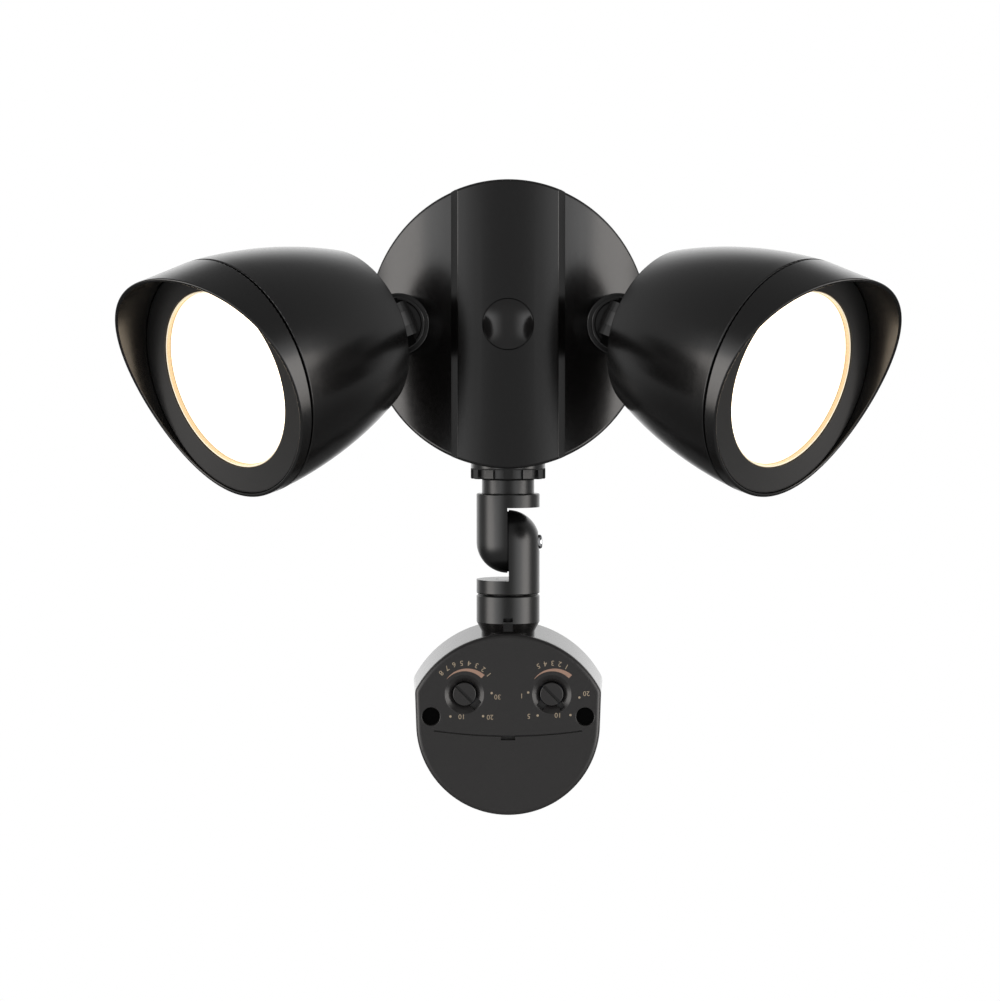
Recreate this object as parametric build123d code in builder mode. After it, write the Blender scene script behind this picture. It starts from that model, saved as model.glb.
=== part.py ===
"""Twin-head security flood light with a motion sensor, in millimetres.

The origin is the centre of the round canopy's back, on the wall. +Z is up and -Y points away from
the wall, so a depth is a distance from the wall along -Y, and a drop is a distance below the origin.
The left head is the one at -X. The right head is its mirror image.
"""
import os
from math import acos, atan2, cos, hypot, radians, sin, sqrt

from build123d import *

# Fits
running_clearance = 0.05      # round pieces that turn in each other
seat_clearance = 0.1          # pieces that are pushed or screwed together
free_clearance = 0.4          # pieces that pass each other

# Canopy, the round housing on the wall
canopy_radius = 60.0
canopy_depth = 34.0           # wall to the middle of the front, and to the tops of its bosses
canopy_rim_depth = 9.0        # wall to the front at the left and right rims, where it has curved back
canopy_wall = 2.2
canopy_edge = 1.5             # rounding of the front rim
band_width = 42.0             # front of the raised centre band
band_slope = 2.8              # width of each sloping side of the band
band_rise = 3.0
band_edge = 0.7               # rounding of the band's long edges
band_trim_gap = 0.05          # band's front to the front of the body that rounds its ends
gasket_thickness = 2.0        # foam ring between the canopy and the wall
gasket_width = 3.0

# Mounting bar behind the canopy and the screw that holds the canopy to it
bar_end = 1.5                 # metal past the end of each slot
bar_width = 16.0
bar_thickness = 2.0
bar_corner = 3.0
box_hole_spacing = 88.9       # screw holes of a round outlet box
box_slot_length = 9.0
box_slot_width = 4.6
ground_screw_offset = 22.0
ground_screw_radius = 1.9
ground_head_radius = 3.8
ground_head_height = 2.2
centre_screw_radius = 2.1
centre_head_radius = 4.2
centre_head_height = 2.2
centre_boss_radius = 6.0
plug_radius = 10.7
plug_wall = 1.4
plug_crown = 1.6              # height of the domed plug above the band
plug_recess = 3.8             # front of the band to the floor under the plug

# Driver board in the canopy
board_thickness = 1.6
driver_length = 62.0
driver_height = 28.0
driver_top_gap = 16.0         # canopy's rim to the top of the board
standoff_radius = 2.6
standoff_height = 10.2
standoff_inset = 4.0
screw_radius = 1.3            # small self-tapping screws
screw_head_radius = 2.5
screw_head_height = 1.6
screw_bite = 5.0              # length of thread in a boss
transformer_length = 20.0
transformer_height = 18.0
transformer_depth = 13.0
transformer_offset = -14.0
capacitor_radius = 5.0
capacitor_length = 12.0
capacitor_offset = 8.0
connector_length = 9.0
connector_height = 14.0
connector_depth = 8.0
connector_offset = 21.0

# Head swivel: a post turns in a collar on a boss of the canopy, square to the wall
boss_radius = 13.0
boss_margin = 1.2             # boss to the canopy's rim
boss_edge = 0.5
collar_radius = 11.3
collar_height = 4.5
collar_edge = 0.5
collar_recess_radius = 9.6
collar_recess_depth = 3.0
collar_body_radius = 9.3
collar_tail = 9.0             # top of the boss to the collar's back end
collar_seat = 5.0             # top of the boss to the step that the post sits on
post_radius = 7.5
post_neck_radius = 6.0
post_tail = 10.0              # length of post behind the collar
post_nut_radius = 10.0
post_nut_thickness = 5.0
lead_hole_radius = 1.1
lead_hole_wall = 0.4          # metal outside each lead hole

# Head tilt: a fork on the head turns on a blade at the end of the post
pivot_height = 14.0           # top of the boss to the pivot
swivel_angle = 23.5           # head below the horizontal, turned about the post
tilt_angle = 48.7             # head axis from straight out
blade_thickness = 6.0
blade_radius = 7.4
ear_thickness = 4.0
ear_radius = 7.2
fork_depth = 8.4              # pivot to the floor of the fork
fork_stub_radius = 9.5
tilt_pin_radius = 2.5
tilt_head_radius = 4.3
tilt_head_height = 2.4
tilt_nut_radius = 4.6
tilt_nut_height = 3.4
knuckle_reach = 23.5          # pivot to the plane of the head's rear rim
knuckle_drop = 3.4            # head axis above the pivot

# Head housing, turned about the head axis; stations are distances from the rear rim
rear_radius = 33.9
seam_radius = 47.2
seam_station = 63.2
shell_bulge = 2.8             # outward curve of the side between its ends
shell_wall = 2.2
rear_wall = 3.0
rear_edge = 1.4
ledge_setback = 19.2          # seam to the back of the ledge
ledge_thickness = 2.5
ledge_width = 5.0
lead_bore_radius = 2.2

# Light engine in the head
plate_thickness = 3.0
led_board_margin = 6.3        # board to the heads of the plate's screws
led_size = 3.5
led_height = 0.7
led_circle_radius = 19.0
led_count = 8
plate_screw_count = 3

# Front of the head
seam_gap = 0.8
seam_edge = 0.4               # rounding on both sides of the seam
visor_wall = 1.5
visor_taper = 0.05            # loss of radius for each unit of length
visor_low = 5.8               # seam to the visor's edge at the bottom
visor_middle = 9.3            # seam to the visor's edge half way up
visor_top = 26.4              # seam to the visor's edge at the top
visor_rim = 0.5               # rounding of the visor's edge
spigot_length = 6.5
spigot_wall = 1.4
visor_flange = 1.7
lens_lip_width = 4.5
lens_lip_thickness = 1.5
lens_gasket_thickness = 1.5
lens_sink = 1.9               # visor's back face to the back of the lens
lens_thickness = 2.7
lens_rim = 0.8                # thickness of the lens's raised rim
lens_rim_height = 1.9
lens_rim_edge = 0.25
bezel_face = 7.9              # width of the bezel over the lens
bezel_lip = 2.4               # height of the bezel's opening above the lens
bezel_rise = 3.4              # height of the bezel's outer rim above the lens
bezel_rim = 0.5               # width of that rim

# Sensor arm, hung from the canopy's underside
hub_margin = 0.2              # hub to the canopy's front and back
hub_flat = 0.3                # canopy's rim to the flat under the hub
hub_thickness = 6.0
arm_gasket_thickness = 0.5
lock_nut_height = 4.0
lock_nut_lug_height = 1.1
lock_nut_lug_width = 3.8
lock_nut_lugs = 12
lock_nut_edge = 0.4
stem_radius = 10.65           # half-inch pipe thread
thread_pitch = 1.8
thread_depth = 0.8
thread_crest = 0.36           # flat on top of each thread
stem_inside = 6.0             # length of stem above the hub
stem_bore_radius = 5.0
sleeve_radius = 11.1          # smooth sleeve below the thread
sleeve_length = 6.2           # lock nut to the top of the elbow
sleeve_edge = 0.4
elbow_disc_thickness = 5.8
elbow_radius = 13.4
elbow_edge = 0.6              # rounding of the elbow's discs
elbow_top_gap = 1.3           # upper disc to the ball of the lower tongue
elbow_gap = 0.6               # between the two tongues
elbow_washer_inset = 0.6      # washer inside the tongues' edge
elbow_foot_gap = 2.6          # ball of the upper tongue to the lower disc
elbow_foot_thickness = 6.0
foot_hole_offset = 4.6        # small blind hole in the top of the lower disc, left of the arm's axis
foot_hole_radius = 0.6
foot_hole_depth = 2.0
elbow_screw_radius = 2.2
elbow_screw_head_radius = 3.1
elbow_screw_head_height = 2.3
elbow_screw_reach = 8.0       # length of thread past the gap
elbow_spotface_radius = 4.2
elbow_spotface_depth = 1.1

# Swivel neck between the arm and the sensor
neck_groove = 0.5
collar_ring_radius = 13.4
collar_ring_height = 11.5
spigot_radius = 9.0
neck_cone_height = 5.6
neck_wall = 1.4
neck_channel_wall = 0.6       # neck to the floor of the channel down the front of the cone
neck_channel_height = 3.4
neck_socket_length = 8.4
neck_clip_lip = 2.0
neck_clip_thickness = 1.5
neck_slot_width = 4.0
neck_slot_height = 1.6
neck_slot_lift = 0.8          # slot above the bottom of the ring

# Motion sensor; a fall is a distance below the top of the front cover
sensor_back_reach = 15.0      # arm axis to the sensor's back
sensor_front_reach = 13.0     # arm axis to the back of the cover
cover_thickness = 4.0
sensor_wall = 2.0
sensor_top_gap = 0.7          # neck ring to the top of the sensor's back
sensor_top_slope = 3.3        # top of the back to the top of the front
rear_shoulder_drop = 25.2     # top of the back to its shoulders
front_shoulder_fall = 23.9
chin_centre_fall = 37.7
chin_radius = 38.6
rear_flare = 2.4              # shoulders wider than the chin, at the back
front_flare = 0.5             # the same at the front
shoulder_rounding = 5.0
sensor_rear_edge = 1.6
cover_edge = 2.0
cover_screw_inset = 6.8       # from the side of the cover
cover_screw_fall = 34.5
cover_screw_well_radius = 3.8
cover_screw_head_gap = 0.3    # between a screw's head and its well
cover_screw_seat = 1.4        # cover left under a screw head
cover_boss_radius = 4.2
cover_seam_fall = 42.7
cover_seam_bow = 2.2
cover_seam_half_length = 31.0
cover_seam_width = 0.6
cover_seam_depth = 1.2
cover_notch_width = 6.0
cover_notch_height = 1.8
cover_notch_depth = 3.0
knob_offset = 18.3
knob_fall = 25.2
knob_radius = 4.9
knob_recess = 0.8             # knob behind the front of the cover
knob_length = 5.0
knob_edge = 0.4
knob_slot_width = 1.2
knob_slot_depth = 1.4
knob_slot_angle = -45.0
knob_stem_radius = 2.0
knob_stem_length = 3.6
dish_radius = 8.2
dish_angle = 100.0
dish_edge = 0.3               # rounding of the rims in the cover
dial_gap = 0.35               # between a knob and its hole
dial_stop_margin = 0.6        # pockets for a knob's stops, to the rim of the dish
dial_stop_depth = 3.2
sensitivity_stops = ((-41.0, 4.6),)                 # angle and length of each pocket
timer_stops = ((-132.0, 3.6), (-52.0, 2.4))
sensor_board_gap = 4.1        # board to the bosses beside it
sensor_board_fall = 12.5
sensor_board_height = 44.0
sensor_post_radius = 2.8
sensor_post_inset = 4.0
pot_size = 9.5
pot_depth = 6.4
pot_gap = 0.7                 # pot to the back of its knob
holder_width = 20.0
holder_height = 10.0
holder_depth = 10.0
holder_fall = 41.5
pir_radius = 4.5
pir_height = 4.0
photocell_radius = 2.2
photocell_height = 2.0
photocell_gap = 0.3           # detector to the light cell
window_half_angle = 62.0
window_front_rim = 3.5        # wall left in front of the window
window_back_rim = 5.5         # wall left behind the window
fresnel_thickness = 1.2
fresnel_margin = 2.0

# Places that follow from the sizes above
canopy_back = gasket_thickness
canopy_inner_depth = canopy_depth - canopy_wall
band_front = canopy_depth + band_rise
front_sag = canopy_depth - canopy_rim_depth
front_curve = (canopy_radius**2 + front_sag**2) / (2 * front_sag)
head_offset = canopy_radius - boss_margin - boss_radius
pivot_depth = canopy_depth + pivot_height
arm_depth = (canopy_back + canopy_depth) / 2
wall_plane = Plane.XZ
head_centre = Vector(-head_offset, 0, 0)
outward = Vector(-cos(radians(swivel_angle)), 0, -sin(radians(swivel_angle)))
head_up = Vector(-sin(radians(swivel_angle)), 0, cos(radians(swivel_angle)))
head_axis = outward * sin(radians(tilt_angle)) + Vector(0, -1, 0) * cos(radians(tilt_angle))
head_side = head_up.cross(head_axis)
pivot = Vector(-head_offset, -pivot_depth, 0)
rim_centre = pivot + head_axis * knuckle_reach + head_up * knuckle_drop
head_line = Axis(rim_centre, head_axis)
head_profile = Plane(rim_centre, x_dir=head_up, z_dir=head_side)
arm_plane = Plane((0, -arm_depth, 0))
arm_profile = Plane((0, -arm_depth, 0), x_dir=(1, 0, 0), z_dir=(0, -1, 0))
arm_line = Axis((0, -arm_depth, 0), (0, 0, 1))


def head_plane(station):
    """Plane square to the head axis, at a distance from the rear rim."""
    return Plane(rim_centre + head_axis * station, x_dir=head_side, z_dir=head_axis)


def knuckle_plane(height):
    """Plane square to the tilt axis, with its x along the head axis."""
    return Plane(pivot + head_up * height, x_dir=head_axis, z_dir=head_up)


def shell_radius(station):
    """Outer radius of the head housing at a distance from the rear rim."""
    share = station / seam_station
    return rear_radius + (seam_radius - rear_radius) * share + 4 * shell_bulge * share * (1 - share)


# Wall gasket: a foam ring
with BuildPart() as wall_gasket:
    with BuildSketch(wall_plane):
        Circle(canopy_radius)
        Circle(canopy_radius - gasket_width, mode=Mode.SUBTRACT)
    extrude(amount=gasket_thickness)

# Mounting bar: a steel strap with slots for the outlet box screws
with BuildPart() as mounting_bar:
    with BuildSketch(wall_plane):
        RectangleRounded(box_hole_spacing + box_slot_length + 2 * bar_end, bar_width, bar_corner)
        with Locations((-box_hole_spacing / 2, 0), (box_hole_spacing / 2, 0)):
            SlotOverall(box_slot_length, box_slot_width, mode=Mode.SUBTRACT)
        Circle(centre_screw_radius + seat_clearance, mode=Mode.SUBTRACT)
        with Locations((ground_screw_offset, 0)):
            Circle(ground_screw_radius + seat_clearance, mode=Mode.SUBTRACT)
    extrude(amount=bar_thickness)

# Ground screw in the mounting bar
with BuildPart() as ground_screw:
    with BuildSketch(wall_plane.offset(bar_thickness)):
        with Locations((ground_screw_offset, 0)):
            Circle(ground_head_radius)
    extrude(amount=ground_head_height)
    with BuildSketch(wall_plane.offset(bar_thickness)):
        with Locations((ground_screw_offset, 0)):
            Circle(ground_screw_radius)
    extrude(amount=-bar_thickness)


def front_depth(offset, middle, curve):
    """Depth of a front that curves back to both sides, at a distance from its middle."""
    return middle - curve + sqrt(curve**2 - offset**2)


def curved_disc(radius, middle, curve):
    """Disc from the canopy's back to a front that curves back to the left and right."""
    reach = radius + canopy_wall
    reach_depth = front_depth(reach, middle, curve)
    with BuildPart() as disc:
        with BuildSketch(Plane.XY):
            with BuildLine():
                ThreePointArc((reach, -reach_depth), (0, -middle), (-reach, -reach_depth))
                Polyline(
                    (-reach, -reach_depth), (-reach, -canopy_back), (reach, -canopy_back), (reach, -reach_depth)
                )
            make_face()
        extrude(amount=reach, both=True)
        with BuildSketch(wall_plane.offset(canopy_back)):
            Circle(radius)
        extrude(amount=middle, mode=Mode.INTERSECT)
    return disc.part


# Curved discs: the first trims the ends of the raised band, the second is the canopy's own body
with BuildPart() as band_trim:
    add(curved_disc(canopy_radius, band_front + band_trim_gap, front_curve + band_rise))
    fillet(band_trim.faces().sort_by(Axis.Y)[0].edges(), canopy_edge)

with BuildPart() as canopy_body:
    add(curved_disc(canopy_radius, canopy_depth, front_curve))
    fillet(canopy_body.faces().sort_by(Axis.Y)[0].edges(), canopy_edge)

# Canopy: a cast cup with a raised band, a boss for each head, a hub for the arm, and bosses inside
standoff_x = driver_length / 2 - standoff_inset
standoff_z = driver_height / 2 - standoff_inset
driver_lift = canopy_radius - driver_top_gap - driver_height / 2
driver_front = canopy_inner_depth - standoff_height
driver_depth = driver_front - board_thickness
standoffs = [(x, driver_lift + z) for x in (-standoff_x, standoff_x) for z in (-standoff_z, standoff_z)]
hub_radius = (canopy_depth - canopy_back) / 2 - hub_margin
hub_drop = canopy_radius + hub_flat
plug_recess_floor = band_front - plug_recess
boss_back = bar_thickness + free_clearance
band_foot = band_width / 2 + band_slope
band_foot_depth = front_depth(band_foot, canopy_depth, front_curve)
band_edge_depth = front_depth(band_width / 2, band_front, front_curve + band_rise)
with BuildPart() as standoff_posts:
    with BuildSketch(wall_plane.offset(driver_front)):
        with Locations(*standoffs):
            Circle(standoff_radius)
    extrude(amount=canopy_inner_depth - driver_front)
    add(canopy_body.part, mode=Mode.INTERSECT)

with BuildPart() as collar_bosses:
    with BuildSketch(wall_plane.offset(canopy_back)):
        with Locations((-head_offset, 0), (head_offset, 0)):
            Circle(boss_radius)
    extrude(amount=canopy_depth - canopy_back)
    fillet(collar_bosses.faces().group_by(Axis.Y)[0].edges(), boss_edge)

with BuildPart() as canopy:
    with BuildSketch(Plane.XY) as band_profile:
        with BuildLine():
            Polyline(
                (-band_width / 2, -band_edge_depth),
                (-band_foot, -band_foot_depth),
                (-band_foot, -canopy_back),
                (band_foot, -canopy_back),
                (band_foot, -band_foot_depth),
                (band_width / 2, -band_edge_depth),
            )
            ThreePointArc(
                (band_width / 2, -band_edge_depth), (0, -band_front), (-band_width / 2, -band_edge_depth)
            )
        make_face()
        fillet(band_profile.vertices().group_by(Axis.Y)[0], band_edge)
    extrude(amount=canopy_radius, both=True)
    add(band_trim.part, mode=Mode.INTERSECT)
    add(canopy_body.part)
    add(collar_bosses.part)
    add(
        curved_disc(canopy_radius - canopy_wall, canopy_inner_depth, front_curve - canopy_wall),
        mode=Mode.SUBTRACT,
    )
    with BuildSketch(wall_plane.offset(canopy_back)):
        with Locations((-head_offset, 0), (head_offset, 0)):
            Circle(boss_radius - canopy_wall)
    extrude(amount=canopy_inner_depth - canopy_back, mode=Mode.SUBTRACT)
    with BuildSketch(wall_plane.offset(boss_back)):
        Circle(centre_boss_radius)
    extrude(amount=canopy_inner_depth - boss_back)
    add(standoff_posts.part)
    with BuildSketch(arm_plane.offset(-hub_drop)):
        Circle(hub_radius)
    extrude(amount=hub_thickness)
    with BuildSketch(wall_plane.offset(plug_recess_floor)):
        Circle(plug_radius + seat_clearance)
    extrude(amount=band_front, mode=Mode.SUBTRACT)
    with BuildSketch(wall_plane):
        Circle(centre_screw_radius + seat_clearance)
    extrude(amount=canopy_depth, mode=Mode.SUBTRACT)
    with BuildSketch(wall_plane.offset(driver_front)):
        with Locations(*standoffs):
            Circle(screw_radius)
    extrude(amount=screw_bite, mode=Mode.SUBTRACT)
    with BuildSketch(wall_plane.offset(canopy_inner_depth)):
        with Locations((-head_offset, 0), (head_offset, 0)):
            Circle(collar_body_radius + seat_clearance)
    extrude(amount=canopy_wall, mode=Mode.SUBTRACT)
    with BuildSketch(arm_plane.offset(-hub_drop)):
        Circle(stem_radius + running_clearance)
    extrude(amount=hub_thickness, mode=Mode.SUBTRACT)

# Screw through the middle of the canopy into the mounting bar
with BuildPart() as centre_screw:
    with BuildSketch(wall_plane):
        Circle(centre_screw_radius)
    extrude(amount=plug_recess_floor)
    with BuildSketch(wall_plane.offset(plug_recess_floor)):
        Circle(centre_head_radius)
    extrude(amount=centre_head_height)

# Plug: a domed cap over that screw
plug_shoulder = band_front
with BuildPart() as centre_plug:
    with BuildSketch(Plane.XY):
        with BuildLine():
            Polyline(
                (plug_radius - plug_wall, -plug_recess_floor),
                (plug_radius, -plug_recess_floor),
                (plug_radius, -plug_shoulder),
            )
            RadiusArc(
                (plug_radius, -plug_shoulder),
                (0, -plug_shoulder - plug_crown),
                (plug_radius**2 + plug_crown**2) / (2 * plug_crown),
            )
            Polyline(
                (0, -plug_shoulder - plug_crown),
                (0, -plug_shoulder + plug_wall),
                (plug_radius - plug_wall, -plug_shoulder + plug_wall),
                (plug_radius - plug_wall, -plug_recess_floor),
            )
        make_face()
    revolve(axis=Axis.Y)

# Driver board on the canopy's standoffs, with its larger parts and its screws
with BuildPart() as driver_board:
    with BuildSketch(wall_plane.offset(driver_depth)):
        with Locations((0, driver_lift)):
            Rectangle(driver_length, driver_height)
        with Locations(*standoffs):
            Circle(screw_radius + seat_clearance, mode=Mode.SUBTRACT)
    extrude(amount=board_thickness)

with BuildPart() as driver_transformer:
    with BuildSketch(wall_plane.offset(driver_depth)):
        with Locations((transformer_offset, driver_lift)):
            Rectangle(transformer_length, transformer_height)
    extrude(amount=-transformer_depth)
    fillet(driver_transformer.edges().filter_by(Axis.Y), board_thickness)

with BuildPart() as driver_capacitor:
    with BuildSketch(wall_plane.offset(driver_depth)):
        with Locations((capacitor_offset, driver_lift)):
            Circle(capacitor_radius)
    extrude(amount=-capacitor_length)

with BuildPart() as wire_connector:
    with BuildSketch(wall_plane.offset(driver_depth)):
        with Locations((connector_offset, driver_lift)):
            Rectangle(connector_length, connector_height)
    extrude(amount=-connector_depth)

with BuildPart() as driver_screws:
    with BuildSketch(wall_plane.offset(driver_depth)):
        with Locations(*standoffs):
            Circle(screw_head_radius)
    extrude(amount=-screw_head_height)
    with BuildSketch(wall_plane.offset(driver_depth)):
        with Locations(*standoffs):
            Circle(screw_radius)
    extrude(amount=board_thickness + screw_bite)

# Swivel collar: a flanged bush in the canopy's boss
collar_front = canopy_depth + collar_height
collar_back_depth = canopy_depth - collar_tail
collar_step_depth = canopy_depth - collar_seat
with BuildPart() as swivel_collar:
    with BuildSketch(wall_plane.offset(collar_back_depth)):
        with Locations((-head_offset, 0)):
            Circle(collar_body_radius)
    extrude(amount=canopy_depth - collar_back_depth)
    with BuildSketch(wall_plane.offset(canopy_depth)):
        with Locations((-head_offset, 0)):
            Circle(collar_radius)
    extrude(amount=collar_height)
    fillet(swivel_collar.faces().sort_by(Axis.Y)[0].edges(), collar_edge)
    with BuildSketch(wall_plane.offset(collar_front)):
        with Locations((-head_offset, 0)):
            Circle(collar_recess_radius)
    extrude(amount=-collar_recess_depth, mode=Mode.SUBTRACT)
    fillet(swivel_collar.faces().sort_by(Axis.Y)[0].inner_wires().edges(), collar_edge)
    with BuildSketch(wall_plane.offset(collar_step_depth)):
        with Locations((-head_offset, 0)):
            Circle(post_radius + running_clearance)
    extrude(amount=collar_front - collar_step_depth, mode=Mode.SUBTRACT)
    with BuildSketch(wall_plane.offset(collar_back_depth)):
        with Locations((-head_offset, 0)):
            Circle(post_neck_radius + running_clearance)
    extrude(amount=collar_step_depth - collar_back_depth, mode=Mode.SUBTRACT)

# Swivel post: turned, with a threaded neck inside and a flat blade for the tilt pivot
post_end_depth = collar_back_depth - post_tail
post_shoulder_depth = pivot_depth - ear_radius - free_clearance
lead_hole_offset = post_neck_radius - lead_hole_radius - lead_hole_wall
lead_holes = [head_centre + head_up * side for side in (-lead_hole_offset, lead_hole_offset)]
with BuildPart() as swivel_post:
    with BuildSketch(wall_plane.offset(post_end_depth)):
        with Locations((-head_offset, 0)):
            Circle(post_neck_radius)
    extrude(amount=collar_step_depth + seat_clearance - post_end_depth)
    with BuildSketch(wall_plane.offset(collar_step_depth + seat_clearance)):
        with Locations((-head_offset, 0)):
            Circle(post_radius)
    extrude(amount=post_shoulder_depth - collar_step_depth - seat_clearance)
    with BuildSketch(wall_plane.offset(post_end_depth)):
        with Locations(*[(hole.X, hole.Z) for hole in lead_holes]):
            Circle(lead_hole_radius)
    extrude(amount=post_shoulder_depth - post_end_depth, mode=Mode.SUBTRACT)
    with BuildSketch(Plane(pivot - head_up * blade_thickness / 2, x_dir=(0, -1, 0), z_dir=head_up)):
        Circle(blade_radius)
        with Locations(((post_shoulder_depth - pivot_depth) / 2, 0)):
            Rectangle(pivot_depth - post_shoulder_depth, 2 * blade_radius)
    extrude(amount=blade_thickness)
    with BuildSketch(knuckle_plane(-blade_thickness / 2)):
        Circle(tilt_pin_radius + running_clearance)
    extrude(amount=blade_thickness, mode=Mode.SUBTRACT)

# Nut that holds the post in its collar
with BuildPart() as post_nut:
    with BuildSketch(wall_plane.offset(collar_back_depth - seat_clearance)):
        with Locations((-head_offset, 0)):
            RegularPolygon(post_nut_radius, 6)
            Circle(post_neck_radius + seat_clearance, mode=Mode.SUBTRACT)
    extrude(amount=-post_nut_thickness)

# Head housing: a cast bullet with a fork on its back and a ledge inside
shell_middle = seam_station / 2
inner_seam_radius = seam_radius - shell_wall
inner_rear_radius = shell_radius(rear_wall) - shell_wall
visor_station = seam_station + seam_gap
spigot_back = visor_station - spigot_length
ledge_station = seam_station - ledge_setback
ledge_outer = shell_radius(ledge_station) - shell_wall / 2
plate_screw_circle = ledge_outer - shell_wall / 2 - ledge_width / 2
ear_inner = blade_thickness / 2 + seat_clearance
ear_outer = ear_inner + ear_thickness
with BuildPart() as head_housing:
    with BuildSketch(head_profile) as housing_profile:
        with BuildLine():
            Polyline((0, rear_wall), (0, 0), (rear_radius, 0))
            ThreePointArc(
                (rear_radius, 0), (shell_radius(shell_middle), shell_middle), (seam_radius, seam_station)
            )
            Line((seam_radius, seam_station), (inner_seam_radius, seam_station))
            ThreePointArc(
                (inner_seam_radius, seam_station),
                (shell_radius(shell_middle) - shell_wall, shell_middle),
                (inner_rear_radius, rear_wall),
            )
            Line((inner_rear_radius, rear_wall), (0, rear_wall))
        make_face()
        fillet(housing_profile.vertices().sort_by(SortBy.DISTANCE)[-1], seam_edge)
    revolve(axis=head_line)
    rear_circles = head_housing.edges().filter_by(GeomType.CIRCLE)
    fillet(rear_circles.filter_by(lambda edge: abs(edge.radius - rear_radius) < seat_clearance), rear_edge)
    with BuildSketch(head_plane(ledge_station)):
        Circle(ledge_outer)
        Circle(ledge_outer - shell_wall / 2 - ledge_width, mode=Mode.SUBTRACT)
    extrude(amount=ledge_thickness)
    with BuildSketch(knuckle_plane(-ear_outer)):
        Circle(ear_radius)
        with Locations((fork_depth / 2, 0)):
            Rectangle(fork_depth, 2 * ear_radius)
    extrude(amount=ear_thickness)
    with BuildSketch(knuckle_plane(ear_inner)):
        Circle(ear_radius)
        with Locations((fork_depth / 2, 0)):
            Rectangle(fork_depth, 2 * ear_radius)
    extrude(amount=ear_thickness)
    with BuildSketch(head_plane(fork_depth - knuckle_reach)):
        with Locations((0, -knuckle_drop)):
            Circle(fork_stub_radius)
    extrude(amount=knuckle_reach - fork_depth + rear_wall / 2)
    with BuildSketch(head_plane(fork_depth - knuckle_reach)):
        with Locations((0, -knuckle_drop)):
            Circle(lead_bore_radius)
    extrude(amount=knuckle_reach - fork_depth + rear_wall, mode=Mode.SUBTRACT)
    with BuildSketch(knuckle_plane(-ear_outer)):
        Circle(tilt_pin_radius + seat_clearance)
    extrude(amount=2 * ear_outer, mode=Mode.SUBTRACT)
    with BuildSketch(head_plane(spigot_back)):
        Circle(inner_seam_radius)
    extrude(amount=spigot_length, mode=Mode.SUBTRACT)
    with BuildSketch(head_plane(ledge_station)):
        with PolarLocations(plate_screw_circle, plate_screw_count):
            Circle(screw_radius + seat_clearance)
    extrude(amount=ledge_thickness, mode=Mode.SUBTRACT)

# Tilt screw through the fork and the blade, and its nut
with BuildPart() as tilt_screw:
    with BuildSketch(knuckle_plane(-ear_outer - tilt_nut_height)):
        Circle(tilt_pin_radius)
    extrude(amount=2 * ear_outer + tilt_nut_height)
    with BuildSketch(knuckle_plane(ear_outer)):
        Circle(tilt_head_radius)
    extrude(amount=tilt_head_height)

with BuildPart() as tilt_nut:
    with BuildSketch(knuckle_plane(-ear_outer)):
        RegularPolygon(tilt_nut_radius, 6)
        Circle(tilt_pin_radius + seat_clearance, mode=Mode.SUBTRACT)
    extrude(amount=-tilt_nut_height)

# Heat plate on the ledge, the board on it, the light-emitting chips and the plate's screws
plate_station = ledge_station + ledge_thickness
board_station = plate_station + plate_thickness
led_station = board_station + board_thickness
plate_radius = shell_radius(plate_station) - shell_wall - free_clearance
led_board_radius = plate_screw_circle - screw_head_radius - led_board_margin
with BuildPart() as heat_plate:
    with BuildSketch(head_plane(plate_station)):
        Circle(plate_radius)
        with PolarLocations(plate_screw_circle, plate_screw_count):
            Circle(screw_radius + seat_clearance, mode=Mode.SUBTRACT)
        Circle(lead_bore_radius, mode=Mode.SUBTRACT)
    extrude(amount=plate_thickness)

with BuildPart() as led_board:
    with BuildSketch(head_plane(board_station)):
        Circle(led_board_radius)
        Circle(lead_bore_radius, mode=Mode.SUBTRACT)
    extrude(amount=board_thickness)

with BuildPart() as led_chips:
    with BuildSketch(head_plane(led_station)):
        with PolarLocations(led_circle_radius, led_count):
            Rectangle(led_size, led_size)
    extrude(amount=led_height)

with BuildPart() as plate_screws:
    with BuildSketch(head_plane(board_station)):
        with PolarLocations(plate_screw_circle, plate_screw_count):
            Circle(screw_head_radius)
    extrude(amount=screw_head_height)
    with BuildSketch(head_plane(board_station)):
        with PolarLocations(plate_screw_circle, plate_screw_count):
            Circle(screw_radius)
    extrude(amount=-plate_thickness - ledge_thickness)

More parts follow.
